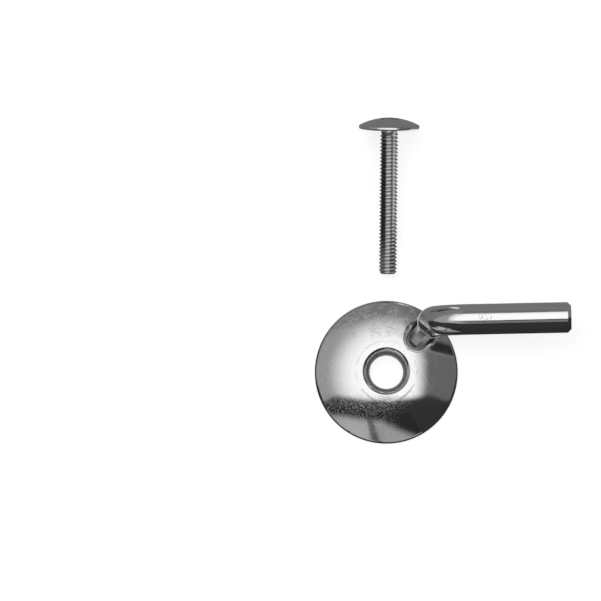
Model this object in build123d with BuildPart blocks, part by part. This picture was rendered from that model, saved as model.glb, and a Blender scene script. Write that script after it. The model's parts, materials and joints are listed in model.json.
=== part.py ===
from build123d import *

import math
import os

# Pintle hinge for a toilet seat, right-hand side, with its fixing screw lying beside it.
# Origin: centre of the fixing hole on the seating plane. +Z up, +X along the hinge pin
# towards its free end, +Y towards the back of the bowl. Millimetres.

# Stamped cover: a spherical cap with a short upright skirt and a collar drawn down at its middle
cover_radius = 25.0
cover_height = 9.0
rim_height = 1.8
rim_round = 1.6
sheet = 1.2
collar_radius = 6.4
collar_roll = 3.7

# The rolled lips of the collar and of the relief start at a crease in the cap, as if the rolls
# belonged to a cap this much higher
lip_crease = 0.85
crease_round = 0.3

# Relief in the cover: it is drawn down round the foot of the pin and runs out through the rim
relief_angle = 45.5
relief_side_gap = 0.3
relief_nose_gap = 0.9
relief_roll = 4.3

# Hinge pin, bent from round bar
pin_radius = 5.35
pin_height = 16.0
pin_straight = 35.9
pin_end_chamfer = 1.2
pin_clearance = 0.2
bend_radius = 12.0
leg_inset = 1.0

# Tongue forged on the foot of the pin
tongue_reach = 12.8
tongue_half_width = 2.9
tongue_crest_half_width = 1.3
tongue_nose_run = 1.0
tongue_nose_height = 1.4
tongue_slope = 26.0
tongue_bevel_height = 1.0

# Anchor plate inside the cover
plate_radius = 22.0
plate_thickness = 1.6
plate_hole_radius = 5.86
plate_clearance = 0.3

# Fixing screw with a truss head, 1/4 inch across, 20 threads to the inch, 2 inches long
screw_radius = 3.175
screw_length = 50.8
screw_tip_chamfer = 0.8
neck_radius = 2.75
neck_length = 1.0
head_radius = 10.6
head_height = 3.9
head_edge = 1.2
head_edge_break = 0.32
recess_width = 2.3
recess_span = 8.6
recess_depth = 2.6
recess_taper = 12.0
recess_turn = 45.0

# Place of the screw's tip on the seating plane, and its turn from +Y towards +X
screw_tip_x = 1.2
screw_tip_y = 34.4
screw_yaw = 1.75

# Sizes that follow
cap_rise = cover_height - rim_height
dome_radius = (cover_radius**2 + cap_rise**2) / (2 * cap_rise)
dome_centre_z = cover_height - dome_radius
leg_reach = cover_radius - leg_inset
leg_opening = pin_radius + pin_clearance
relief_half_width = tongue_half_width + relief_side_gap
relief_inner_reach = tongue_reach - relief_nose_gap + relief_half_width
wide_reach = cover_radius + relief_half_width + 2 * relief_roll
deep_z = -2 * cover_height
tongue_top_reach = tongue_reach + tongue_nose_run
tongue_crest = tongue_nose_height + (leg_reach - tongue_top_reach) * math.tan(math.radians(tongue_slope))
crown_rise = head_height - head_edge
crown_radius = (head_radius**2 + crown_rise**2) / (2 * crown_rise)
thread_end = screw_length - neck_length
head_rim = screw_length + head_edge
head_top = screw_length + head_height

# Planes on the radial line of the relief: one flat on the seating plane, one upright
radial_floor = Plane.XY.rotated((0, 0, relief_angle))
radial_wall = Plane(origin=(0, 0, 0), x_dir=radial_floor.x_dir, z_dir=-radial_floor.y_dir)
leg_centre = radial_floor.from_local_coords((leg_reach, 0, 0))

# The screw lies on the rim of its head and on the end of its thread
screw_lean = math.atan2(head_radius - screw_radius, screw_length + head_edge_break - screw_tip_chamfer)
screw_tip_z = screw_radius * math.cos(screw_lean) - screw_tip_chamfer * math.sin(screw_lean)
screw_across = Vector(1, 0, 0).rotate(Axis.Z, -screw_yaw)
screw_along = Vector(0, 1, 0).rotate(Axis.X, math.degrees(screw_lean)).rotate(Axis.Z, -screw_yaw)
screw_frame = Plane(origin=(screw_tip_x, screw_tip_y, screw_tip_z), x_dir=screw_across, z_dir=screw_along)
screw_wall = Plane(origin=screw_frame.origin, x_dir=screw_frame.x_dir, z_dir=-screw_frame.y_dir)


def cap_section(reach, ball, floor_z):
    """Half section under a spherical cap that ends in an upright side at the given reach."""
    crest_z = dome_centre_z + ball
    corner_z = dome_centre_z + math.sqrt(ball**2 - reach**2)
    with BuildSketch(Plane.XZ) as section:
        with BuildLine():
            Polyline((0, crest_z), (0, floor_z), (reach, floor_z), (reach, corner_z))
            RadiusArc((reach, corner_z), (0, crest_z), -ball)
        make_face()
    return section.sketch


def rolled_cap(ball, opening, roll):
    """Wide cap with an upright opening through it, whose upper edge is rolled down."""
    with BuildPart() as cap:
        revolve(cap_section(wide_reach, ball, deep_z), axis=Axis.Z)
        with BuildSketch(radial_floor.offset(deep_z)):
            add(opening)
        extrude(amount=dome_centre_z + ball - deep_z, mode=Mode.SUBTRACT)
        wall_edges = cap.edges(Select.LAST).filter_by(Axis.Z, reverse=True)
        fillet(wall_edges.filter_by(lambda edge: deep_z / 2 < edge.position_at(0.5).Z), roll)
    return cap.part


def cover_form(inset, floor_z, shoulder_round, lip_round):
    """Solid form of the cover with its collar hole and relief, drawn in by a wall thickness."""
    reach = cover_radius - inset
    ball = dome_radius - inset
    bore = collar_radius + inset
    corner_z = dome_centre_z + math.sqrt(ball**2 - reach**2)
    bore_z = dome_centre_z + math.sqrt((ball + lip_crease) ** 2 - bore**2)
    with BuildSketch(Plane.XZ) as collar_section:
        add(cap_section(wide_reach, ball + lip_crease, deep_z))
        Rectangle(2 * bore, 2 * dome_radius, mode=Mode.SUBTRACT)
        fillet(collar_section.vertices().sort_by_distance((bore, bore_z))[0], collar_roll - inset)
    with BuildSketch(Plane.XZ) as rim_section:
        add(cap_section(reach, ball, floor_z))
        add(collar_section.sketch, mode=Mode.INTERSECT)
        if shoulder_round:
            fillet(rim_section.vertices().sort_by_distance((reach, corner_z))[0], shoulder_round)
        if lip_round:
            fillet(rim_section.vertices().sort_by(Axis.Y)[-1], lip_round)
    with BuildSketch() as relief_opening:
        with Locations((relief_inner_reach, 0)):
            Circle(relief_half_width + inset)
            Rectangle(2 * wide_reach, 2 * (relief_half_width + inset), align=(Align.MIN, Align.CENTER))
    with BuildPart() as form:
        revolve(rim_section.sketch, axis=Axis.Z)
        add(rolled_cap(ball + lip_crease, relief_opening.sketch, relief_roll - inset), mode=Mode.INTERSECT)
    return form.part


outer_form = cover_form(0, 0, rim_round, crease_round)
inner_form = cover_form(sheet, -sheet, 0, 0)

# Cover: one sheet. Its collar and the walls of its relief stop on the anchor plate, and the
# relief opens to the bar's full width where the leg stands
with BuildPart() as cover:
    add(outer_form)
    add(inner_form, mode=Mode.SUBTRACT)
    with BuildSketch():
        Circle(plate_radius + plate_clearance)
    extrude(amount=plate_thickness, mode=Mode.SUBTRACT)
    with BuildSketch(radial_floor):
        with Locations((leg_reach, 0)):
            Circle(leg_opening)
            Rectangle(cover_radius, 2 * leg_opening, align=(Align.MIN, Align.CENTER))
    extrude(amount=cover_height, mode=Mode.SUBTRACT)

cover.part.label = "cover"

# Tongue: a ramp with a steep, round nose and bevelled flanks, set radially on the anchor plate
with BuildPart() as tongue:
    with BuildSketch(radial_wall):
        with BuildLine():
            Polyline(
                (tongue_reach, plate_thickness),
                (leg_reach, plate_thickness),
                (leg_reach, plate_thickness + tongue_crest),
                (tongue_top_reach, plate_thickness + tongue_nose_height),
                close=True,
            )
        make_face()
    extrude(amount=tongue_half_width, both=True)
    ramp = tongue.faces().sort_by(Axis.Z)[-1]
    ramp_edges = ramp.edges().sort_by(SortBy.LENGTH)[-2:]
    bevel_width = tongue_half_width - tongue_crest_half_width
    chamfer(ramp_edges, bevel_width, tongue_bevel_height, reference=ramp)
    with BuildSketch(radial_floor):
        with Locations((tongue_reach + tongue_half_width, 0)):
            Circle(tongue_half_width)
            Rectangle(leg_reach, 2 * tongue_half_width, align=(Align.MIN, Align.CENTER))
    extrude(amount=pin_height, mode=Mode.INTERSECT)

# Hinge pin: straight bar along +X, bent down into an upright leg that stands on the seating plane
with BuildPart() as hinge_pin:
    with BuildLine(Plane.XZ.offset(-leg_centre.Y)) as pin_path:
        bend_start = leg_centre.X + bend_radius
        bar = Line((bend_start + pin_straight, pin_height), (bend_start, pin_height))
        bend = JernArc(start=bar @ 1, tangent=bar % 1, radius=bend_radius, arc_size=90)
        Line(bend @ 1, (leg_centre.X, 0))
    with BuildSketch(Plane(origin=pin_path.line @ 0, z_dir=pin_path.line % 0)):
        Circle(pin_radius)
    sweep()
    free_end = hinge_pin.faces().sort_by(Axis.X)[-1]
    chamfer(free_end.edges(), pin_end_chamfer)
    add(tongue.part)

hinge_pin.part.label = "hinge_pin"

# Anchor plate: flat disc with the fixing hole, cut away round the leg of the pin
with BuildPart() as anchor_plate:
    with BuildSketch():
        Circle(plate_radius)
        Circle(plate_hole_radius, mode=Mode.SUBTRACT)
        with Locations((leg_centre.X, leg_centre.Y)):
            Circle(leg_opening, mode=Mode.SUBTRACT)
    extrude(amount=plate_thickness)

anchor_plate.part.label = "anchor_plate"

# Fixing screw: turned profile with an undercut neck, then a tapered cross recess in the crown
with BuildPart() as fixing_screw:
    with BuildSketch(screw_wall) as screw_profile:
        with BuildLine():
            Polyline(
                (0, head_top),
                (0, 0),
                (screw_radius - screw_tip_chamfer, 0),
                (screw_radius, screw_tip_chamfer),
                (screw_radius, thread_end),
                (neck_radius, thread_end),
                (neck_radius, screw_length),
                (head_radius, screw_length),
                (head_radius, head_rim),
            )
            RadiusArc((head_radius, head_rim), (0, head_top), -crown_radius)
        make_face()
        rim_corners = screw_profile.vertices().sort_by(Axis.X)[-2:]
        chamfer(rim_corners, head_edge_break)
    revolve(axis=Axis(screw_frame.origin, screw_frame.z_dir))
    with BuildSketch(screw_frame.offset(head_top)):
        Rectangle(recess_span, recess_width, rotation=recess_turn)
        Rectangle(recess_width, recess_span, rotation=recess_turn)
    extrude(amount=-recess_depth, taper=recess_taper, mode=Mode.SUBTRACT)

fixing_screw.part.label = "fixing_screw"

os.makedirs("parts", exist_ok=True)
export_step(cover.part, "parts/cover.step")
export_step(hinge_pin.part, "parts/hinge_pin.step")
export_step(anchor_plate.part, "parts/anchor_plate.step")
export_step(fixing_screw.part, "parts/fixing_screw.step")
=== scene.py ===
"""Toilet seat hinge: finishes, screw thread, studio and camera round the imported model."""

import json
import logging
import math
from dataclasses import dataclass
from enum import Enum
from typing import Callable, Iterable, Optional, Union

import bmesh
import bpy
from mathutils import Matrix, Vector


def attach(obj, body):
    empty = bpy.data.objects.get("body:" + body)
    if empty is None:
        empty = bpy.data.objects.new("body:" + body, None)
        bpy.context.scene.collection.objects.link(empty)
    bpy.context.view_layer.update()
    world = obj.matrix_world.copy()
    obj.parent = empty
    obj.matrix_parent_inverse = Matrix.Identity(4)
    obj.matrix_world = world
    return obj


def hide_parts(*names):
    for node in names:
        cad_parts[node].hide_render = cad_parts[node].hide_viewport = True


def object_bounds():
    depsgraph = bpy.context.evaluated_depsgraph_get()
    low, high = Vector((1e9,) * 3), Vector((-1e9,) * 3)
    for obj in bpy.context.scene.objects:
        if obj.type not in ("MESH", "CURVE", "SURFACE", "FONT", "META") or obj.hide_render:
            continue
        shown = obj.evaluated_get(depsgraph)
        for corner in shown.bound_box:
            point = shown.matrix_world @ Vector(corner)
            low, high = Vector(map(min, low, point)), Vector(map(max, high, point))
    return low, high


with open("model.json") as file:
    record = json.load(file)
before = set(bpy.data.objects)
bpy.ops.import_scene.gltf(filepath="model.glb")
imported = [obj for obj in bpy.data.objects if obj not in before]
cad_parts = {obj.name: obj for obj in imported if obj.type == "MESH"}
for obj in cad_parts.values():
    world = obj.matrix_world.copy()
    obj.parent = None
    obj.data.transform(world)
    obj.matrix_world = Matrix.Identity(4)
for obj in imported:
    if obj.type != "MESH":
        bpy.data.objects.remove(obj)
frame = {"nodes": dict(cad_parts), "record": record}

CAD_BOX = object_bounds()
MM = 0.001
BODY = "root"
WELD = 0.01 * MM
NEAR = 0.001 * MM
CUT = 0.0001 * MM
LOG = logging.getLogger("seat_hinge")

Number = Union[int, float]
Value = Union["Signal", int, float]
Sockets = dict[str, Union["Signal", Number, tuple]]
Span = tuple[float, float]


class Ray(Enum):
    """Kinds of ray that the studio tells apart, by the name of their Light Path output."""

    CAMERA = "Is Camera Ray"
    GLOSSY = "Is Glossy Ray"
    TRANSMISSION = "Is Transmission Ray"


class Slot(Enum):
    """Material slots of the record."""

    COVER = "polished_cover"
    PIN = "polished_pin"
    PLATE = "plate_steel"
    SCREW = "screw_steel"


class Facing(Enum):
    """Ways that a card is turned: degrees about Y and then about X, from lying flat."""

    DOWN = (0.0, 0.0)
    BACK = (0.0, 90.0)
    SCREW = (90.0, 8.4)

    def matrix(self) -> Matrix:
        """The turn as a matrix."""
        about_y, about_x = (math.radians(angle) for angle in self.value)
        return Matrix.Rotation(about_x, 3, "X") @ Matrix.Rotation(about_y, 3, "Y")


class Graph:
    """A node tree in which any node is made by one call."""

    def __init__(self, tree: bpy.types.NodeTree) -> None:
        """Takes a node tree and empties it.

        Args:
            tree: the tree of a material or of the world.
        """
        self.tree = tree
        tree.nodes.clear()

    def node(
        self,
        kind: str,
        settings: Optional[dict] = None,
        inputs: Optional[dict] = None,
        output: Union[str, int] = 0,
    ) -> "Signal":
        """Makes one node.

        Args:
            kind: the node's type.
            settings: attributes, which are set before the sockets.
            inputs: a Signal or a constant for each socket, by the socket's name or index.
            output: the output that is handed back.

        Returns:
            The chosen output as a Signal.
        """
        made = self.tree.nodes.new(kind)
        for name, setting in (settings or {}).items():
            setattr(made, name, setting)
        for name, value in (inputs or {}).items():
            if isinstance(value, Signal):
                self.tree.links.new(value.socket, made.inputs[name])
            else:
                made.inputs[name].default_value = value
        outputs = made.outputs
        return Signal(self, outputs[output]) if len(outputs) else Signal(self, None)

    def ray(self, kind: Ray) -> "Signal":
        """1 for that kind of ray and 0 for any other."""
        return self.node("ShaderNodeLightPath", output=kind.value)

    def seen(self) -> "Signal":
        """1 for what the camera sees, straight or through glass."""
        return self.ray(Ray.CAMERA).larger(self.ray(Ray.TRANSMISSION))

    def place(self) -> "Signal":
        """The point on the piece, in millimetres."""
        return self.node("ShaderNodeTexCoord", output="Object") * (1 / MM)

    def glow(self, level: "Signal") -> "Signal":
        """A shader that shines with a level."""
        return self.node("ShaderNodeEmission", inputs={"Color": level, "Strength": 1.0})

    def point(self, x: Value, y: Value, z: Value) -> "Signal":
        """A vector from three values."""
        return self.node("ShaderNodeCombineXYZ", inputs={"X": x, "Y": y, "Z": z})

    def grain(self, place: "Signal", detail: Number = 0.0) -> "Signal":
        """Noise about 0.5 with features about one unit across.

        Args:
            place: where the noise is read, in feature sizes.
            detail: how many finer layers are added.

        Returns:
            The noise value.
        """
        inputs = {"Vector": place, "Scale": 1.0, "Detail": detail, "Roughness": 0.55}
        return self.node("ShaderNodeTexNoise", inputs=inputs)

    def bump(self, height: "Signal") -> "Signal":
        """A normal that is tilted by a height field.

        Args:
            height: the field, in millimetres.

        Returns:
            The normal.
        """
        return self.node("ShaderNodeBump", inputs={"Strength": 1.0, "Distance": MM, "Height": height})


class Signal:
    """An output socket that takes part in Python arithmetic."""

    def __init__(self, graph: Graph, socket: Optional[bpy.types.NodeSocket]) -> None:
        """Wraps a socket.

        Args:
            graph: the graph in which the socket's node stands.
            socket: the output, or None for a node that has none.
        """
        self.graph = graph
        self.socket = socket

    def _math(self, operation: str, *values: Value) -> "Signal":
        """A Math node, or a Vector Math node where this signal is a vector.

        Args:
            operation: the node's operation.
            values: what goes into its sockets, in their order.

        Returns:
            The node's result.
        """
        vector = self.socket.type == "VECTOR"
        kind = "ShaderNodeVectorMath" if vector else "ShaderNodeMath"
        return self.graph.node(kind, {"operation": operation}, dict(enumerate(values)))

    def __add__(self, other: Value) -> "Signal":
        """Sum."""
        return self._math("ADD", self, other)

    def __sub__(self, other: Value) -> "Signal":
        """Difference."""
        return self._math("SUBTRACT", self, other)

    def __rsub__(self, other: Number) -> "Signal":
        """A number minus the signal."""
        return self._math("SUBTRACT", other, self)

    def __mul__(self, other: Value) -> "Signal":
        """Product, or a vector scaled by a value.

        Args:
            other: the factor.

        Returns:
            The product.
        """
        if self.socket.type == "VECTOR":
            scale = {"operation": "SCALE"}
            return self.graph.node("ShaderNodeVectorMath", scale, {0: self, "Scale": other})
        return self._math("MULTIPLY", self, other)

    def __truediv__(self, other: Value) -> "Signal":
        """Quotient."""
        return self._math("DIVIDE", self, other)

    def __abs__(self) -> "Signal":
        """Size without sign."""
        return self._math("ABSOLUTE", self)

    __radd__ = __add__
    __rmul__ = __mul__

    def larger(self, other: Value) -> "Signal":
        """The larger of two."""
        return self._math("MAXIMUM", self, other)

    def root(self) -> "Signal":
        """Square root."""
        return self._math("SQRT", self)

    def dot(self, direction: Vector) -> "Signal":
        """How far a vector reaches along a direction."""
        inputs = {0: self, 1: tuple(direction)}
        return self.graph.node("ShaderNodeVectorMath", {"operation": "DOT_PRODUCT"}, inputs, "Value")

    def square(self) -> "Signal":
        """Squared length of a vector."""
        settings = {"operation": "DOT_PRODUCT"}
        return self.graph.node("ShaderNodeVectorMath", settings, {0: self, 1: self}, "Value")

    def parts(self) -> tuple["Signal", "Signal", "Signal"]:
        """The three values of a vector."""
        split = self.graph.node("ShaderNodeSeparateXYZ", inputs={0: self}).socket.node
        return tuple(Signal(self.graph, split.outputs[name]) for name in ("X", "Y", "Z"))

    def fade(self, start: Number, end: Number, low: Number = 0.0, high: Number = 1.0) -> "Signal":
        """Goes smoothly from low to high as the signal goes from start to end.

        Args:
            start: where the result is still low.
            end: where the result is high; it may be less than start.
            low: the result before start.
            high: the result past end.

        Returns:
            The faded value.
        """
        settings = {"interpolation_type": "SMOOTHSTEP", "clamp": True}
        inputs = {"Value": self, "From Min": start, "From Max": end, "To Min": low, "To Max": high}
        return self.graph.node("ShaderNodeMapRange", settings, inputs)

    def toward(self, other: Value, share: "Signal") -> "Signal":
        """This value where share is 0 and the other where share is 1.

        Args:
            other: the second value.
            share: the mixing factor.

        Returns:
            The mixed value.
        """
        return self + (other - self) * share


class Finish:
    """A metal finish that makes its own material."""

    def surface(self, graph: Graph, place: Signal) -> Sockets:
        """What goes into the metal shader's sockets.

        Args:
            graph: the material's graph.
            place: the point on the piece, in millimetres.

        Returns:
            A link or constant for each socket, by its name.
        """
        raise NotImplementedError

    def material(self, name: str) -> bpy.types.Material:
        """Makes the material.

        Args:
            name: the material's name.

        Returns:
            The material, ready for a slot.
        """
        made = bpy.data.materials.new(name)
        made.use_nodes = True
        graph = Graph(made.node_tree)
        inputs = {"Metallic": 1.0, **self.surface(graph, graph.place())}
        shader = graph.node("ShaderNodeBsdfPrincipled", inputs=inputs)
        graph.node("ShaderNodeOutputMaterial", inputs={"Surface": shader})
        return made


@dataclass(frozen=True)
class Strokes:
    """Fine straight scratches that run about one way.

    Lengths are in millimetres and the heading is in degrees from +X.
    """

    heading: float
    length: float
    width: float
    seed: float
    share: float = 0.66
    curl: float = 0.0
    edge: float = 0.06

    def mask(self, graph: Graph, place: Signal) -> Signal:
        """Where the scratches are.

        Args:
            graph: the material's graph.
            place: the point on the piece, in millimetres.

        Returns:
            1 in a scratch and 0 beside it.
        """
        x, y, _ = place.parts()
        if self.curl:
            sway = graph.grain(place * (1 / self.length)) * self.curl
            x, y = x + sway, y + sway
        turn = math.radians(self.heading)
        along = (x * math.cos(turn) + y * math.sin(turn)) / self.length
        across = (y * math.cos(turn) - x * math.sin(turn)) / self.width
        stretched = graph.grain(graph.point(along, across, self.seed))
        return stretched.fade(self.share, self.share + self.edge)


@dataclass(frozen=True)
class PolishedCover(Finish):
    """Polished plated dome with scuffs on top, pits below and the ring that the screw head wore, with
    painted shade on the relief's walls and round the foot of the rim.

    Lengths are in millimetres. A span is where something fades in, from none to full.
    """

    colour: float = 0.80
    collar_colour: float = 0.85
    # painted shade: the relief's walls are darker, as the recess lies in shade
    relief_shade_colour: float = 0.38
    # painted shade: the dark line round the foot of the rim
    rim_shade_colour: float = 0.10
    mark_shade: float = 0.10
    roughness: float = 0.075
    collar_roughness: float = 0.50
    relief_roughness: float = 0.34
    edge_roughness: float = 0.45
    mark_roughness: float = 0.30
    cap_radius: float = 47.0
    cap_centre: float = -38.0
    drawn_depth: Span = (0.25, 1.6)
    inside_rim: Span = (23.0, 21.0)
    past_collar: Span = (8.5, 10.0)
    # where the foot of the rim gets painted shade, and the roughness of a raw cut edge
    rim_shade_and_raw_edge: Span = (0.9, 0.55)
    top_zone: Span = (8.0, 15.0)
    left_zone: Span = (-13.0, -18.0)
    front_zone: Span = (-7.0, -10.0)
    front_zone_side: Span = (14.0, -6.0)
    scuff_patches: Span = (0.36, 0.54)
    top_scuffs: tuple[Strokes, ...] = (
        Strokes(heading=24, length=2.4, width=0.17, seed=1.0, share=0.62, curl=0.6),
        Strokes(heading=-31, length=1.9, width=0.16, seed=5.0, share=0.63, curl=0.6),
        Strokes(heading=4, length=1.6, width=0.17, seed=17.0, share=0.64, curl=0.5),
    )
    left_ticks: Strokes = Strokes(heading=80, length=1.5, width=0.22, seed=9.0, share=0.68)
    hairlines: Strokes = Strokes(heading=-62, length=7.0, width=0.13, seed=13.0, share=0.69)
    hairline_strength: float = 0.4
    pits_per_mm: float = 3.4
    pit_share: Span = (0.60, 0.68)
    stray_pits: float = 0.10
    ring_radius: float = 10.6
    ring_band: Span = (0.5, 0.1)
    ring_patches: Span = (0.33, 0.55)
    ring_breaks: Strokes = Strokes(heading=0, length=1.2, width=0.25, seed=29.0, share=0.45)
    faint_ring: float = 0.4
    mark_height: float = 0.0084
    wave_height: float = 0.024
    waves_per_mm: float = 0.12
    patches_per_mm: float = 0.25

    def wear(self, graph: Graph, place: Signal) -> Signal:
        """Scuffs, ticks, hairlines, pits and the worn ring.

        Args:
            graph: the material's graph.
            place: the point on the piece, in millimetres.

        Returns:
            1 in a mark and 0 beside it.
        """
        x, y, _ = place.parts()
        patch = graph.grain(place * self.patches_per_mm, detail=1.0)
        marks = self.hairlines.mask(graph, place) * self.hairline_strength
        on_top = y.fade(*self.top_zone) * patch.fade(*self.scuff_patches)
        for strokes in self.top_scuffs:
            marks = marks.larger(strokes.mask(graph, place) * on_top)
        on_left = x.fade(*self.left_zone)
        marks = marks.larger(self.left_ticks.mask(graph, place) * on_left)
        in_front = y.fade(*self.front_zone) * x.fade(*self.front_zone_side)
        pits = graph.grain(place * self.pits_per_mm, detail=1.0).fade(*self.pit_share)
        marks = marks.larger(pits * in_front.fade(0.0, 1.0, self.stray_pits, 1.0))
        reach = (x * x + y * y).root()
        ring = abs(reach - self.ring_radius).fade(*self.ring_band) * patch.fade(*self.ring_patches)
        breaks = self.ring_breaks.mask(graph, place).fade(0.0, 1.0, self.faint_ring, 1.0)
        return marks.larger(ring * breaks)

    def surface(self, graph: Graph, place: Signal) -> Sockets:
        """See Finish.surface.

        Args:
            graph: the material's graph.
            place: the point on the piece, in millimetres.

        Returns:
            Links for the metal shader.
        """
        x, y, height = place.parts()
        reach = (x * x + y * y).root()
        marks = self.wear(graph, place)
        cap = (self.cap_radius**2 - reach * reach).root() + self.cap_centre
        drawn = (cap - height).fade(*self.drawn_depth) * reach.fade(*self.inside_rim)
        # painted shade round the foot of the rim, which is also rougher as a raw cut edge
        rim_shade_and_raw_edge = height.fade(*self.rim_shade_and_raw_edge)
        # the collar's own colour, with painted shade on the relief's walls
        collar_colour_and_relief_shade = reach.fade(*self.past_collar, self.collar_colour, self.relief_shade_colour)
        wall_roughness = reach.fade(*self.past_collar, self.collar_roughness, self.relief_roughness)
        colour = self.colour - marks * self.mark_shade
        roughness = marks * self.mark_roughness + self.roughness
        waves = graph.grain(place * self.waves_per_mm)
        return {
            "Base Color": colour.toward(collar_colour_and_relief_shade, drawn).toward(self.rim_shade_colour, rim_shade_and_raw_edge),
            "Roughness": roughness.toward(wall_roughness, drawn).toward(self.edge_roughness, rim_shade_and_raw_edge),
            "Normal": graph.bump(waves * self.wave_height + marks * self.mark_height),
        }


@dataclass(frozen=True)
class PolishedPin(Finish):
    """Polished round bar with drawing lines, a patch of jaw nicks and a forged tongue.

    Lengths are in millimetres. A span is where something fades in, from none to full.
    """

    colour: float = 0.80
    nick_shade: float = 0.25
    forged_shade: float = 0.12
    roughness: float = 0.08
    line_roughness: float = 0.06
    nick_roughness: float = 0.15
    forged_roughness: float = 0.42
    drawing_lines: Strokes = Strokes(heading=0, length=14.0, width=0.20, seed=3.0, share=0.62)
    jaw_nicks: Strokes = Strokes(heading=64, length=1.3, width=0.30, seed=21.0, share=0.60)
    nicks_x: float = 34.8
    nicks_y: float = 17.6
    nicks_stretch: float = 0.5
    nicks_spread: Span = (2.4, 1.2)
    nicks_height: Span = (15.0, 16.0)
    forged_height: Span = (7.0, 4.0)
    bend_reach: Span = (36.0, 28.0)
    waves_per_mm: float = 0.35
    bar_wave_height: float = 0.0096
    bend_wave_height: float = 0.0496
    nick_depth: float = 0.024
    line_height: float = 0.0012

    def surface(self, graph: Graph, place: Signal) -> Sockets:
        """See Finish.surface.

        Args:
            graph: the material's graph.
            place: the point on the piece, in millimetres.

        Returns:
            Links for the metal shader.
        """
        x, y, height = place.parts()
        lines = self.drawing_lines.mask(graph, place)
        along, across = x - self.nicks_x, y - self.nicks_y
        spread = (along * along * self.nicks_stretch + across * across).root()
        jaw = spread.fade(*self.nicks_spread) * height.fade(*self.nicks_height)
        nicks = self.jaw_nicks.mask(graph, place) * jaw
        forged = height.fade(*self.forged_height)
        wave_height = x.fade(*self.bend_reach, self.bar_wave_height, self.bend_wave_height)
        waves = graph.grain(place * self.waves_per_mm, detail=1.0) * wave_height
        roughness = lines * self.line_roughness + nicks * self.nick_roughness + self.roughness
        return {
            "Base Color": self.colour - nicks * self.nick_shade - forged * self.forged_shade,
            "Roughness": roughness.toward(self.forged_roughness, forged),
            "Normal": graph.bump(waves - nicks * self.nick_depth + lines * self.line_height),
        }


@dataclass(frozen=True)
class RolledPlate(Finish):
    """Plain rolled steel sheet, dark partly as steel and partly as painted shade for the hollow under the
    cover, with cloudy tone and a faint grain one way.
    """

    # painted shade: the sheet's colour is kept dark for the deep hollow under the cover
    colour: float = 0.26
    cloud_shade: float = 0.12
    clouds_per_mm: float = 0.3
    roughness: float = 0.38
    line_roughness: float = 0.12
    rolling_lines: Strokes = Strokes(heading=90, length=10.0, width=0.15, seed=2.0, share=0.5)
    line_height: float = 0.002

    def surface(self, graph: Graph, place: Signal) -> Sockets:
        """See Finish.surface.

        Args:
            graph: the material's graph.
            place: the point on the piece, in millimetres.

        Returns:
            Links for the metal shader.
        """
        lines = self.rolling_lines.mask(graph, place)
        clouds = graph.grain(place * self.clouds_per_mm, detail=2.0) - 0.5
        return {
            "Base Color": self.colour + clouds * self.cloud_shade,
            "Roughness": lines * self.line_roughness + self.roughness,
            "Normal": graph.bump(lines * self.line_height),
        }


@dataclass(frozen=True)
class PlatedScrew(Finish):
    """Plated screw: bright crown and crests, painted shade in the thread's roots, which are also rougher.

    The tip and the axis say where the screw lies. Lengths are in millimetres.
    """

    tip: Vector
    axis: Vector
    colour: float = 0.74
    root_painted_shade: float = 0.40
    speckle_shade: float = 0.1
    speckles_per_mm: float = 1.8
    roughness: float = 0.14
    worn_roughness: float = 0.15
    root_zone: Span = (3.1, 2.65)
    hairlines: Strokes = Strokes(heading=30, length=5.0, width=0.2, seed=7.0, share=0.64)
    mark_height: float = 0.004

    def surface(self, graph: Graph, place: Signal) -> Sockets:
        """See Finish.surface.

        Args:
            graph: the material's graph.
            place: the point on the piece, in millimetres.

        Returns:
            Links for the metal shader.
        """
        offset = place - tuple(self.tip)
        along = offset.dot(self.axis)
        root = (offset.square() - along * along).root().fade(*self.root_zone)
        speckle = graph.grain(place * self.speckles_per_mm, detail=2.0)
        hairs = self.hairlines.mask(graph, place)
        return {
            # painted shade in the thread's roots
            "Base Color": self.colour - root * self.root_painted_shade + (speckle - 0.5) * self.speckle_shade,
            "Roughness": (root + hairs) * self.worn_roughness + self.roughness,
            "Normal": graph.bump((speckle + hairs) * self.mark_height),
        }


@dataclass
class HingeParts:
    """The cover, the pin and the anchor plate, whose packed forms stay."""

    def build(self) -> list[bpy.types.Object]:
        """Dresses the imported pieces.

        Returns:
            The three pieces.
        """
        finishes = {
            "cover": (PolishedCover(), Slot.COVER),
            "hinge_pin": (PolishedPin(), Slot.PIN),
            "anchor_plate": (RolledPlate(), Slot.PLATE),
        }
        pieces = []
        for name, (finish, slot) in finishes.items():
            piece = frame["nodes"][name]
            dress(piece, finish, slot)
            pieces.append(piece)
        return pieces


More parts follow.
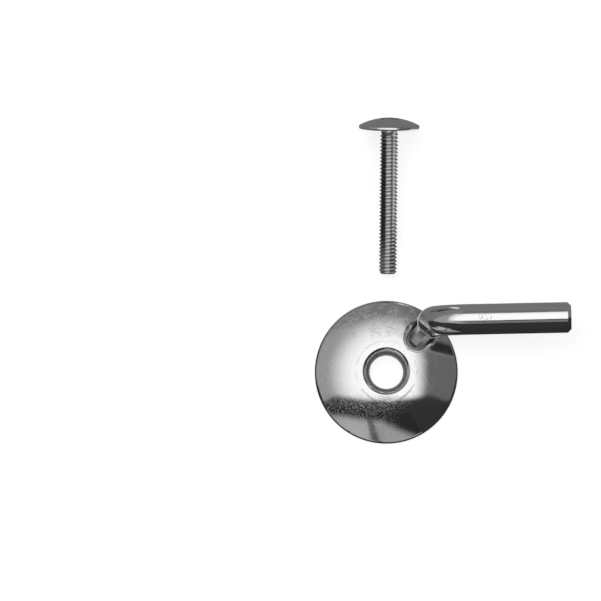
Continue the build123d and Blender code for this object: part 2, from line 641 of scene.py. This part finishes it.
@dataclass
class FixingScrew:
    """Truss-head machine screw with a cut thread and a cross recess.

    It is made standing on its tip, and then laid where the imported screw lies.
    """

    pitch: float = 1.27 * MM
    crest_radius: float = 3.175 * MM
    thread_depth: float = 0.55 * MM
    run_out: float = 0.6
    tip_chamfer: float = 0.8 * MM
    tip_ring: float = 0.5
    neck_radius: float = 2.75 * MM
    neck_length: float = 1.0 * MM
    neck_fillet: float = 0.25 * MM
    length: float = 50.8 * MM
    head_radius: float = 10.6 * MM
    head_edge: float = 1.2 * MM
    head_height: float = 3.89 * MM
    edge_round: float = 0.55 * MM
    recess_width: float = 2.3 * MM
    recess_span: float = 8.6 * MM
    recess_depth: float = 2.6 * MM
    recess_taper: float = 12.0
    recess_turn: float = 45.0
    sides: int = 72
    sharp_angle: float = 50.0

    def __post_init__(self) -> None:
        """Works out what follows from the sizes."""
        self.root_radius = self.crest_radius - self.thread_depth
        self.thread_end = self.length - self.neck_length
        self.head_top = self.length + self.head_height
        rise = self.head_height - self.head_edge
        self.crown_radius = (self.head_radius**2 + rise**2) / (2 * rise)

    def thread_profile(self) -> list[tuple[float, float]]:
        """One pitch of the thread, from root to root.

        Returns:
            Pairs of the share of the pitch and the share of the depth.
        """
        rising = [(0.0, 0.0), (0.12, 0.02), (0.18, 0.09), (0.42, 0.93), (0.45, 0.985)]
        falling = [(1.0 - share, depth) for share, depth in reversed(rising[1:])]
        return rising + [(0.5, 1.0)] + falling

    def thread_radius(self, along: float, depth: float) -> float:
        """Radius of a point of the thread.

        Args:
            along: distance from the tip.
            depth: share of the thread's depth, 0 in the root.

        Returns:
            The radius, held in the tip's chamfer and faded into the neck.
        """
        radius = self.root_radius + self.thread_depth * depth
        fade = self.run_out * self.pitch
        share = min(1.0, max(0.0, (along - self.thread_end + fade) / fade))
        radius += (self.neck_radius - radius) * share * share * (3 - 2 * share)
        return min(radius, self.crest_radius - self.tip_chamfer + max(0.0, along))

    def wind_thread(self, mesh: bmesh.types.BMesh) -> None:
        """Winds the thread as one strip, a pitch past each end.

        Args:
            mesh: receives the strip.
        """
        profile = self.thread_profile()
        turns = math.ceil(self.length / self.pitch) + 1
        steps = self.sides * turns
        rows = []
        for step in range(steps + self.sides + 1):
            turn = 2 * math.pi * step / self.sides
            start = self.pitch * (step / self.sides - 1)
            row = []
            for share, depth in profile:
                along = start + share * self.pitch
                radius = self.thread_radius(along, depth)
                row.append(mesh.verts.new((radius * math.cos(turn), radius * math.sin(turn), along)))
            rows.append(row)
        for step in range(steps):
            near = rows[step] + [rows[step + self.sides][0]]
            far = rows[step + 1] + [rows[step + 1 + self.sides][0]]
            for k in range(len(profile)):
                mesh.faces.new((near[k], far[k], far[k + 1], near[k + 1]))
        loose = [v for v in mesh.verts if not v.link_faces]
        bmesh.ops.delete(mesh, geom=loose, context="VERTS")

    def trim(self, mesh: bmesh.types.BMesh, height: float, keep_above: bool) -> list[bmesh.types.BMEdge]:
        """Cuts the strip square to its axis.

        Args:
            mesh: the strip.
            height: where it is cut.
            keep_above: whether the side towards the head stays.

        Returns:
            The edges of the cut.
        """
        geometry = mesh.verts[:] + mesh.edges[:] + mesh.faces[:]
        cut = bmesh.ops.bisect_plane(
            mesh, geom=geometry, dist=CUT, plane_co=(0, 0, height), plane_no=(0, 0, 1),
            clear_inner=keep_above, clear_outer=not keep_above,
        )
        corners = [v for v in cut["geom_cut"] if isinstance(v, bmesh.types.BMVert)]
        bmesh.ops.remove_doubles(mesh, verts=corners, dist=WELD)
        borders = [e for e in mesh.edges if e.is_boundary]
        return [e for e in borders if all(abs(v.co.z - height) < NEAR for v in e.verts)]

    def arc(
        self, height: float, reach: float, radius: float, start: float, end: float, steps: int
    ) -> list[tuple[float, float]]:
        """Points along an arc of the outline, past its first point.

        Args:
            height: height of the arc's centre.
            reach: distance of the centre from the axis.
            radius: the arc's radius.
            start: first angle, in radians from straight outward towards the crown.
            end: last angle.
            steps: number of points.

        Returns:
            Pairs of height and radius.
        """
        turns = [start + (end - start) * k / steps for k in range(1, steps + 1)]
        return [(height + radius * math.sin(turn), reach + radius * math.cos(turn)) for turn in turns]

    def head_profile(self) -> list[tuple[float, float]]:
        """Outline of the head from the neck to the crown's middle.

        Returns:
            Pairs of height and radius.
        """
        inner = self.neck_radius + self.neck_fillet
        outer = self.head_radius - self.edge_round
        crown = self.head_top - self.crown_radius
        inset = self.crown_radius - self.edge_round
        shoulder = crown + math.sqrt(inset**2 - outer**2)
        lean = math.acos(outer / inset)
        points = self.arc(self.length - self.neck_fillet, inner, self.neck_fillet, math.pi, math.pi / 2, 4)
        points += [(self.length, inner + (outer - inner) * k / 4) for k in range(1, 5)]
        points += self.arc(self.length + self.edge_round, outer, self.edge_round, -math.pi / 2, 0.0, 6)
        points += self.arc(shoulder, outer, self.edge_round, 0.0, lean, 5)
        return points + self.arc(crown, 0.0, self.crown_radius, lean, math.pi / 2, 25)[:-1]

    def grow(
        self,
        mesh: bmesh.types.BMesh,
        edges: list[bmesh.types.BMEdge],
        outline: Iterable[tuple[float, float]],
    ) -> list[bmesh.types.BMEdge]:
        """Carries a round edge loop along an outline.

        Args:
            mesh: the mesh.
            edges: the loop to start from.
            outline: pairs of height and radius.

        Returns:
            The last loop.
        """
        for height, radius in outline:
            grown = bmesh.ops.extrude_edge_only(mesh, edges=edges)["geom"]
            edges = [e for e in grown if isinstance(e, bmesh.types.BMEdge) and len(e.link_faces) == 1]
            for vert in {v for e in edges for v in e.verts}:
                flat = Vector((vert.co.x, vert.co.y, 0.0)).normalized() * radius
                vert.co = Vector((flat.x, flat.y, height))
        return edges

    def recess_cutter(self) -> bpy.types.Object:
        """The tapered cross that is cut out of the crown.

        Returns:
            A closed mesh object.
        """
        mesh = bmesh.new()
        half, reach = self.recess_width / 2, self.recess_span / 2
        corners = [(reach, -half), (reach, half), (half, half)]
        bottom, top = self.head_top - self.recess_depth, self.head_top + MM
        lean = math.tan(math.radians(self.recess_taper))
        rings = []
        for height in (bottom, top):
            inset = (self.head_top - height) * lean
            ring = []
            for quarter in range(4):
                turn = Matrix.Rotation(math.radians(90 * quarter + self.recess_turn), 3, "Z")
                for x, y in corners:
                    shrunk = Vector((x - inset, y - math.copysign(inset, y), height))
                    ring.append(mesh.verts.new(turn @ shrunk))
            rings.append(ring)
        lower, upper = rings
        count = len(lower)
        for k in range(count):
            after = (k + 1) % count
            mesh.faces.new((lower[k], lower[after], upper[after], upper[k]))
        mesh.faces.new(reversed(lower))
        mesh.faces.new(upper)
        return to_object(mesh, "recess_cutter")

    def build(self) -> list[bpy.types.Object]:
        """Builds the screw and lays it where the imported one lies.

        Returns:
            The screw.
        """
        mesh = bmesh.new()
        self.wind_thread(mesh)
        tip = self.trim(mesh, 0.0, keep_above=True)
        neck = self.trim(mesh, self.length - self.neck_fillet, keep_above=False)
        tip = self.grow(mesh, tip, [(0.0, self.root_radius * self.tip_ring)])
        bmesh.ops.contextual_create(mesh, geom=tip)
        crown = self.grow(mesh, neck, self.head_profile())
        bmesh.ops.contextual_create(mesh, geom=crown)
        bmesh.ops.recalc_face_normals(mesh, faces=mesh.faces)
        screw = to_object(mesh, "threaded_screw")
        cut_away(screw, self.recess_cutter())
        screw.data.set_sharp_from_angle(angle=math.radians(self.sharp_angle))
        placing = self.placing()
        screw.data.transform(placing)
        dress(screw, PlatedScrew(placing.translation / MM, placing.col[2].xyz), Slot.SCREW)
        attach(screw, BODY)
        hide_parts("fixing_screw")
        return [screw]

    def placing(self) -> Matrix:
        """Where the screw lies, from the record's mount on its thread.

        Returns:
            The matrix that carries the upright screw there.
        """
        mount = next(m for m in frame["record"]["mounts"] if m["name"] == "screw_thread")
        axis = -Vector(mount["axis"]).normalized()
        tip = Vector(mount["pos_m"]) - axis * (mount["dims"]["length_mm"] * MM / 2 + self.tip_chamfer)
        side = axis.cross(Vector((0, 0, 1))).normalized()
        turned = Matrix((side, axis.cross(side), axis)).transposed()
        return Matrix.Translation(tip) @ turned.to_4x4()


@dataclass(frozen=True)
class Card:
    """A card or flag that only the metal shows.

    Lengths are in millimetres. The pattern gives the level of light at a point of the card.
    """

    name: str
    centre: tuple[float, float, float]
    size: Span
    facing: Facing
    pattern: Callable[[Signal], Signal]

    def build(self) -> None:
        """Makes the card and puts it up."""
        mesh = bmesh.new()
        bmesh.ops.create_grid(mesh, x_segments=1, y_segments=1, size=0.5 * MM)
        bmesh.ops.scale(mesh, vec=(*self.size, 1.0), verts=mesh.verts)
        bmesh.ops.rotate(mesh, matrix=self.facing.matrix(), verts=mesh.verts)
        bmesh.ops.translate(mesh, vec=Vector(self.centre) * MM, verts=mesh.verts)
        card = to_object(mesh, self.name)
        made = bpy.data.materials.new(self.name)
        made.use_nodes = True
        graph = Graph(made.node_tree)
        glow = graph.glow(self.pattern(graph.place()))
        graph.node("ShaderNodeOutputMaterial", inputs={"Surface": glow})
        card.data.materials.append(made)
        card.visible_camera = card.visible_diffuse = card.visible_shadow = False


@dataclass(frozen=True)
class Lamp:
    """A broad lamp that lights the floor and makes the soft shadow, in metres and watts."""

    name: str
    place: tuple[float, float, float]
    size: float
    power: float

    def build(self) -> None:
        """Hangs the lamp so that it shines at the origin."""
        data = bpy.data.lights.new(self.name, "AREA")
        data.size = self.size
        data.energy = self.power
        lamp = bpy.data.objects.new(self.name, data)
        lamp.location = self.place
        lamp.rotation_euler = Vector(self.place).to_track_quat("Z", "Y").to_euler()
        lamp.visible_glossy = False
        bpy.context.scene.collection.objects.link(lamp)


@dataclass
class Studio:
    """Pale floor, soft room, cards, lamps and the camera above them.

    The room's spans are slopes, sideways over upward. Spans on the floor and cards are in millimetres.
    """

    frame_width: float = 210.35 * MM
    target: tuple[float, float, float] = (-29.48 * MM, 25.77 * MM, 0.0)
    roll: float = 1.18
    elevation: float = 87.0
    distance: float = 4.0
    sensor: float = 36.0
    clipping: Span = (0.05, 50.0)
    overhead_level: float = 1.20
    wall_level: float = 0.36
    back_level: float = 0.21
    right_level: float = 0.15
    front_level: float = 0.035
    overhead_span: Span = (1.35, 0.38)
    overhead_stretch: float = 0.86
    back_span: Span = (0.95, 1.45)
    right_span: Span = (0.42, 0.80)
    front_span: Span = (-0.34, -0.46)
    front_bow: float = 0.27
    front_bow_span: Span = (0.8, 1.7)
    front_bow_centre: float = 0.1
    horizon: float = 0.02
    floor_size: float = 8.0
    floor_gap: float = 0.02 * MM
    floor_colour: float = 0.20
    backdrop_level: float = 0.82
    # painted reflection: the floor's level as the metal sees it, darker towards the front
    floor_reflection_span: Span = (8.0, 26.0)
    floor_reflection_levels: Span = (0.03, 0.20)

    def build(self) -> None:
        """Builds the whole studio."""
        self.build_camera()
        self.build_world()
        self.build_floor()
        for card in self.cards():
            card.build()
        Lamp("key_lamp", place=(-0.35, 0.45, 1.3), size=0.9, power=10.0).build()
        Lamp("fill_lamp", place=(0.6, -0.2, 1.2), size=0.9, power=5.0).build()

    def build_camera(self) -> None:
        """Sets the camera over the bench, nearly square to it."""
        roll, lift = math.radians(self.roll), math.radians(self.elevation)
        right = Vector((math.cos(roll), -math.sin(roll), 0.0))
        ahead = Vector((math.sin(roll), math.cos(roll), 0.0))
        back = Vector((0, 0, 1)) * math.sin(lift) - ahead * math.cos(lift)
        data = bpy.data.cameras.new("camera")
        data.sensor_width = self.sensor
        data.lens = self.sensor * self.distance / self.frame_width
        data.clip_start, data.clip_end = self.clipping
        camera = bpy.data.objects.new("camera", data)
        bpy.context.scene.collection.objects.link(camera)
        turned = Matrix((right, back.cross(right), back)).transposed()
        place = Vector(self.target) + back * self.distance
        camera.matrix_world = Matrix.Translation(place) @ turned.to_4x4()
        bpy.context.scene.camera = camera

    def build_world(self) -> None:
        """Sets the room: a broad soft light overhead, darker walls, and white for the camera."""
        world = bpy.data.worlds.new("room")
        world.use_nodes = True
        bpy.context.scene.world = world
        graph = Graph(world.node_tree)
        x, y, z = graph.node("ShaderNodeTexCoord", output="Generated").parts()
        rise = z.larger(self.horizon)
        side, front = x / rise, y / rise
        spread = (side * side + front * front * self.overhead_stretch).root()
        level = spread.fade(*self.overhead_span, self.wall_level, self.overhead_level)
        level = level.toward(self.back_level, front.fade(*self.back_span))
        level = level.toward(self.right_level, side.fade(*self.right_span))
        bow = abs(side + self.front_bow_centre).fade(*self.front_bow_span) * self.front_bow
        level = level.toward(self.front_level, (front + bow).fade(*self.front_span))
        level = level.toward(1.0, graph.seen())
        shade = graph.node("ShaderNodeBackground", inputs={"Color": level, "Strength": 1.0})
        graph.node("ShaderNodeOutputWorld", inputs={"Surface": shade})

    def build_floor(self) -> None:
        """Lays the floor, which shows white and keeps the object's shadow; the metal sees it as a painted
        reflection, darker towards the front.
        """
        mesh = bmesh.new()
        bmesh.ops.create_grid(mesh, x_segments=1, y_segments=1, size=self.floor_size / 2)
        floor = to_object(mesh, "floor")
        floor.location.z = CAD_BOX[0].z - self.floor_gap
        made = bpy.data.materials.new("pale_floor")
        made.use_nodes = True
        graph = Graph(made.node_tree)
        matt_colour = (self.floor_colour,) * 3 + (1.0,)
        matt = graph.node("ShaderNodeBsdfDiffuse", inputs={"Color": matt_colour})
        glow = graph.glow(graph.seen() * self.backdrop_level)
        lit = graph.node("ShaderNodeAddShader", inputs={0: glow, 1: matt})
        _, y, _ = graph.place().parts()
        # painted reflection of the floor for glossy rays, darker towards the front
        painted_floor_reflection = graph.glow(y.fade(*self.floor_reflection_span, *self.floor_reflection_levels))
        mixed = {0: graph.ray(Ray.GLOSSY), 1: lit, 2: painted_floor_reflection}
        both = graph.node("ShaderNodeMixShader", inputs=mixed)
        graph.node("ShaderNodeOutputMaterial", inputs={"Surface": both})
        floor.data.materials.append(made)

    def cards(self) -> list[Card]:
        """The cards round the pieces and the flags over them.

        Returns:
            The cards, ready to build.
        """
        return [
            Card("bounce_card", (-20.0, -34.0, 18.0), (80.0, 32.0), Facing.BACK, self.bounce),
            Card("front_flag", (43.0, 14.6, 24.0), (60.0, 2.5), Facing.DOWN, self.front_shade),
            Card("back_flag", (46.0, 41.0, 35.0), (56.0, 20.0), Facing.DOWN, self.back_shade),
            Card("screw_flag", (-4.2, 62.0, 9.6), (12.0, 40.0), Facing.SCREW, self.screw_shade),
            Card("screw_card", (15.5, 64.0, 9.5), (11.0, 38.0), Facing.SCREW, self.screw_light),
        ]

    def bounce(self, place: Signal) -> Signal:
        """Level of the bounce card: it fades upward and to the left, and a dark seam leans across it.

        Args:
            place: the point on the card, in millimetres.

        Returns:
            The level of light.
        """
        x, _, z = place.parts()
        right_drop = (x + 4.0).larger(0.0) * 0.85
        left_drop = (-30.0 - x).larger(0.0) * 0.1
        level = (z + right_drop + left_drop).fade(30.0, 20.0, 0.03, 0.47)
        left_share = x.fade(-56.0, -30.0, 0.4, 1.0)
        right_share = x.fade(-12.0, -8.0, 1.0, 0.82)
        seam = abs(x + z * 0.38 + 2.9).fade(3.4, 0.8, 0.0, 0.85)
        return (level * left_share * right_share).toward(0.05, seam)

    def front_shade(self, place: Signal) -> Signal:
        """Level of the front flag: lighter towards the bend, and darkest where it begins behind."""
        x, y, _ = place.parts()
        return y.fade(15.5, 14.9, 0.07, 0.20).toward(0.42, x.fade(31.0, 20.0))

    def back_shade(self, place: Signal) -> Signal:
        """Level of the back flag, which is the room's behind it."""
        x, _, _ = place.parts()
        return x.fade(18.0, 26.0, 0.28, 0.18)

    def screw_shade(self, place: Signal) -> Signal:
        """Level of the flag on the screw's left, which is darker towards the head."""
        _, y, _ = place.parts()
        return y.fade(42.0, 46.0, 0.20, 0.03)

    def screw_light(self, place: Signal) -> Signal:
        """Level of the card on the screw's right, which is lighter towards the head."""
        _, y, _ = place.parts()
        return y.fade(45.0, 56.0, 0.45, 1.1)


def to_object(mesh: bmesh.types.BMesh, name: str) -> bpy.types.Object:
    """Turns a mesh under construction into an object with smooth faces.

    Args:
        mesh: the mesh, which is used up.
        name: the object's name.

    Returns:
        The object, linked to the scene.
    """
    data = bpy.data.meshes.new(name)
    mesh.to_mesh(data)
    mesh.free()
    data.shade_smooth()
    made = bpy.data.objects.new(name, data)
    bpy.context.scene.collection.objects.link(made)
    return made


def cut_away(piece: bpy.types.Object, cutter: bpy.types.Object) -> None:
    """Cuts one object out of another and removes the cutter.

    Args:
        piece: the object that is cut.
        cutter: the closed form that is taken away.
    """
    cut = piece.modifiers.new("cut", "BOOLEAN")
    cut.object = cutter
    cut.operation = "DIFFERENCE"
    cut.solver = "EXACT"
    graph = bpy.context.evaluated_depsgraph_get()
    result = bpy.data.meshes.new_from_object(piece.evaluated_get(graph))
    piece.modifiers.clear()
    piece.data = result
    bpy.data.objects.remove(cutter)


def dress(piece: bpy.types.Object, finish: Finish, slot: Slot) -> None:
    """Gives a piece its finish and the record's slot.

    Args:
        piece: the piece.
        finish: its finish.
        slot: the record's slot that the finish belongs to.
    """
    material = finish.material(slot.value + "_finish")
    if not piece.data.materials:
        piece.data.materials.append(material)
    for index in range(len(piece.data.materials)):
        piece.data.materials[index] = material


def main() -> None:
    """Builds the studio and the pieces, and reports each."""
    logging.basicConfig(level=logging.INFO, format="%(message)s")
    bpy.context.scene.view_settings.view_transform = "Standard"
    Studio().build()
    for assembly in (HingeParts(), FixingScrew()):
        for piece in assembly.build():
            LOG.info("%s: %d faces", piece.name, len(piece.data.polygons))


if __name__ == "__main__":
    main()
